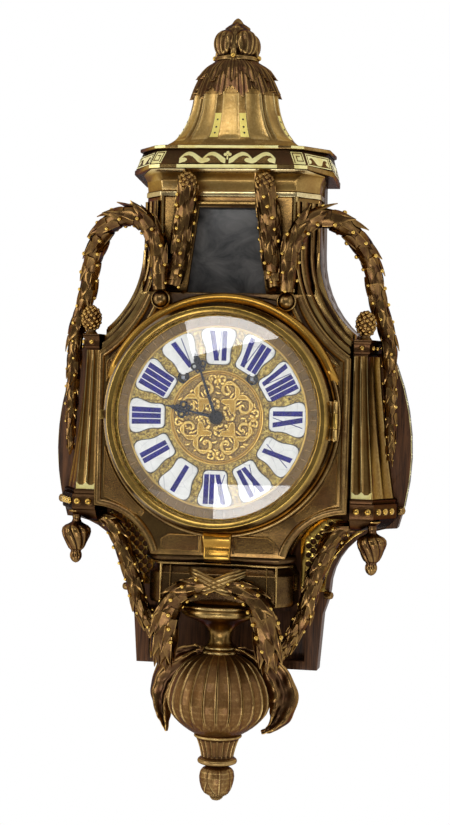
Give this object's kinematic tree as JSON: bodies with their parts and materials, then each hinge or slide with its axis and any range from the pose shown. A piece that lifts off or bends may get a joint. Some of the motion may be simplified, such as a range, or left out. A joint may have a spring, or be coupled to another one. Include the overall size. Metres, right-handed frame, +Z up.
{
  "type": "cartel_clock",
  "caption": "Wall-hung gilt bronze cartel clock with laurel garlands, enamel dial cartouches, a hinged convex glass and a striking movement in a wooden back box.",
  "frame": {"origin": "centre of the hanging hole on the wall plane", "axes": "+X right as seen from the front, +Y into the wall, +Z up"},
  "size_m": [0.34, 0.1203, 0.729],
  "materials": {
    "gilt_bronze": "aged gilt bronze with a brown patina",
    "dark_wood": "dark stained hardwood",
    "movement_brass": "polished brass",
    "movement_steel": "ground steel",
    "bright_gilt": "bright gilt brass",
    "bell_metal": "polished bell metal",
    "clear_glass": "clear convex glass",
    "white_enamel": "white enamel with blue numerals",
    "blued_steel": "blued steel",
    "dark_panel": "darkened sheet metal"
  },
  "bodies": {
    "case": {"back_board": "dark_wood", "carcass_frame": "dark_wood", "hanging_plate": "movement_brass", "case_fittings": "movement_steel", "body_shell": "gilt_bronze", "front_frame": "gilt_bronze", "tower_case": "gilt_bronze", "tower_panel": "dark_panel", "frieze_cove": "gilt_bronze", "cornice": "gilt_bronze", "dome": "gilt_bronze", "top_finial": "gilt_bronze", "pilasters": "gilt_bronze", "pilaster_capitals": "gilt_bronze", "pilaster_bases": "gilt_bronze", "pine_cones": "gilt_bronze", "drop_pendants": "gilt_bronze", "garland_handle_left": "gilt_bronze", "garland_handle_right": "gilt_bronze", "leaf_chutes": "gilt_bronze", "lower_garlands": "gilt_bronze", "sound_frets": "gilt_bronze", "base_block": "gilt_bronze", "front_swag": "gilt_bronze", "neck_dish": "gilt_bronze", "gadroon_bulb": "gilt_bronze", "ribbon_tails": "gilt_bronze", "fluted_socket": "gilt_bronze", "bottom_bud": "gilt_bronze", "dial_drum": "gilt_bronze", "dial_plate": "bright_gilt", "enamel_cartouches": "white_enamel", "front_plate": "movement_brass", "back_plate": "movement_brass", "movement_straps": "movement_brass", "suspension_cock": "movement_brass", "bell": "bell_metal"},
    "bezel": {"bezel": "bright_gilt", "glass": "clear_glass"},
    "back_door": {"back_door": "movement_brass"},
    "minute_hand": {"minute_hand": "blued_steel"},
    "centre_wheel": {"centre_wheel": "movement_brass"},
    "hour_hand": {"hour_hand": "blued_steel", "hour_wheel": "movement_brass"},
    "minute_wheel": {"minute_wheel": "movement_brass"},
    "going_barrel": {"going_barrel": "movement_brass", "going_mainspring": "movement_steel"},
    "going_arbor": {"going_arbor": "movement_steel"},
    "intermediate_wheel": {"intermediate_wheel": "movement_brass"},
    "third_wheel": {"third_wheel": "movement_brass"},
    "escape_wheel": {"escape_wheel": "movement_brass"},
    "pallet_anchor": {"pallet_anchor": "movement_steel"},
    "pendulum": {"pendulum": "movement_brass"},
    "strike_barrel": {"strike_barrel": "movement_brass", "strike_mainspring": "movement_steel"},
    "strike_arbor": {"strike_arbor": "movement_steel"},
    "strike_wheel": {"strike_wheel": "movement_brass"},
    "pin_wheel": {"pin_wheel": "movement_brass"},
    "fly": {"fly": "movement_brass"},
    "hammer": {"hammer": "movement_steel"}
  },
  "joints": [
    {"name": "bezel_hinge", "type": "hinge", "parent": "case", "child": "bezel", "pos_m": [0.1076, -0.105, -0.17], "axis": [0, 0, 1], "range_deg": [0, 95]},
    {"name": "back_door_hinge", "type": "hinge", "parent": "case", "child": "back_door", "pos_m": [-0.065, -0.003, -0.17], "axis": [0, 0, 1], "range_deg": [0, 95]},
    {"name": "minute_hand_spin", "type": "hinge", "parent": "case", "child": "minute_hand", "pos_m": [0, -0.09, -0.17], "axis": [0, 1, 0], "continuous": true},
    {"name": "centre_wheel_spin", "type": "hinge", "parent": "case", "child": "centre_wheel", "pos_m": [0, -0.07, -0.17], "axis": [0, 1, 0], "continuous": true},
    {"name": "hour_hand_spin", "type": "hinge", "parent": "case", "child": "hour_hand", "pos_m": [0, -0.095, -0.17], "axis": [0, 1, 0], "continuous": true},
    {"name": "minute_wheel_spin", "type": "hinge", "parent": "case", "child": "minute_wheel", "pos_m": [0.0072, -0.092, -0.18247], "axis": [0, 1, 0], "continuous": true},
    {"name": "going_barrel_spin", "type": "hinge", "parent": "case", "child": "going_barrel", "pos_m": [0.0316, -0.07, -0.1345], "axis": [0, 1, 0], "continuous": true},
    {"name": "going_arbor_spin", "type": "hinge", "parent": "case", "child": "going_arbor", "pos_m": [0.0316, -0.07, -0.1345], "axis": [0, 1, 0], "continuous": true},
    {"name": "intermediate_wheel_spin", "type": "hinge", "parent": "case", "child": "intermediate_wheel", "pos_m": [0.02096, -0.06, -0.15601], "axis": [0, 1, 0], "continuous": true},
    {"name": "third_wheel_spin", "type": "hinge", "parent": "case", "child": "third_wheel", "pos_m": [-0.00708, -0.06, -0.14812], "axis": [0, 1, 0], "continuous": true},
    {"name": "escape_wheel_spin", "type": "hinge", "parent": "case", "child": "escape_wheel", "pos_m": [0, -0.06, -0.132], "axis": [0, 1, 0], "continuous": true},
    {"name": "pendulum_swing", "type": "hinge", "parent": "case", "child": "pendulum", "pos_m": [0, -0.038, -0.114], "axis": [0, 1, 0], "range_deg": [-4, 4]},
    {"name": "pallet_anchor_rock", "type": "hinge", "parent": "case", "child": "pallet_anchor", "pos_m": [0, -0.05, -0.114], "axis": [0, 1, 0], "range_deg": [-4, 4]},
    {"name": "pin_wheel_spin", "type": "hinge", "parent": "case", "child": "pin_wheel", "pos_m": [-0.0312, -0.06, -0.183], "axis": [0, 1, 0], "continuous": true},
    {"name": "strike_wheel_spin", "type": "hinge", "parent": "case", "child": "strike_wheel", "pos_m": [-0.03553, -0.06, -0.15818], "axis": [0, 1, 0], "continuous": true},
    {"name": "strike_barrel_spin", "type": "hinge", "parent": "case", "child": "strike_barrel", "pos_m": [-0.0316, -0.07, -0.1345], "axis": [0, 1, 0], "continuous": true},
    {"name": "strike_arbor_spin", "type": "hinge", "parent": "case", "child": "strike_arbor", "pos_m": [-0.0316, -0.07, -0.1345], "axis": [0, 1, 0], "continuous": true},
    {"name": "fly_spin", "type": "hinge", "parent": "case", "child": "fly", "pos_m": [-0.01875, -0.06, -0.19545], "axis": [0, 1, 0], "continuous": true},
    {"name": "hammer_swing", "type": "hinge", "parent": "case", "child": "hammer", "pos_m": [-0.0444, -0.04, -0.2013], "axis": [0, 1, 0], "range_deg": [0, 10], "stiffness_Nm_per_rad": 0.05, "springref_deg": -11.46}
  ],
  "couplings": [
    {"joint": "hour_hand_spin", "follows": "minute_hand_spin", "ratio": 0.083333},
    {"joint": "minute_wheel_spin", "follows": "minute_hand_spin", "ratio": -0.33333},
    {"joint": "third_wheel_spin", "follows": "escape_wheel_spin", "ratio": -0.1},
    {"joint": "centre_wheel_spin", "follows": "escape_wheel_spin", "ratio": 0.0095238},
    {"joint": "intermediate_wheel_spin", "follows": "escape_wheel_spin", "ratio": -0.0015873},
    {"joint": "going_barrel_spin", "follows": "escape_wheel_spin", "ratio": 0.00022676},
    {"joint": "pallet_anchor_rock", "follows": "pendulum_swing", "ratio": 1},
    {"joint": "pin_wheel_spin", "follows": "fly_spin", "ratio": -0.1},
    {"joint": "strike_wheel_spin", "follows": "fly_spin", "ratio": 0.016667},
    {"joint": "strike_barrel_spin", "follows": "fly_spin", "ratio": -0.002381}
  ]
}
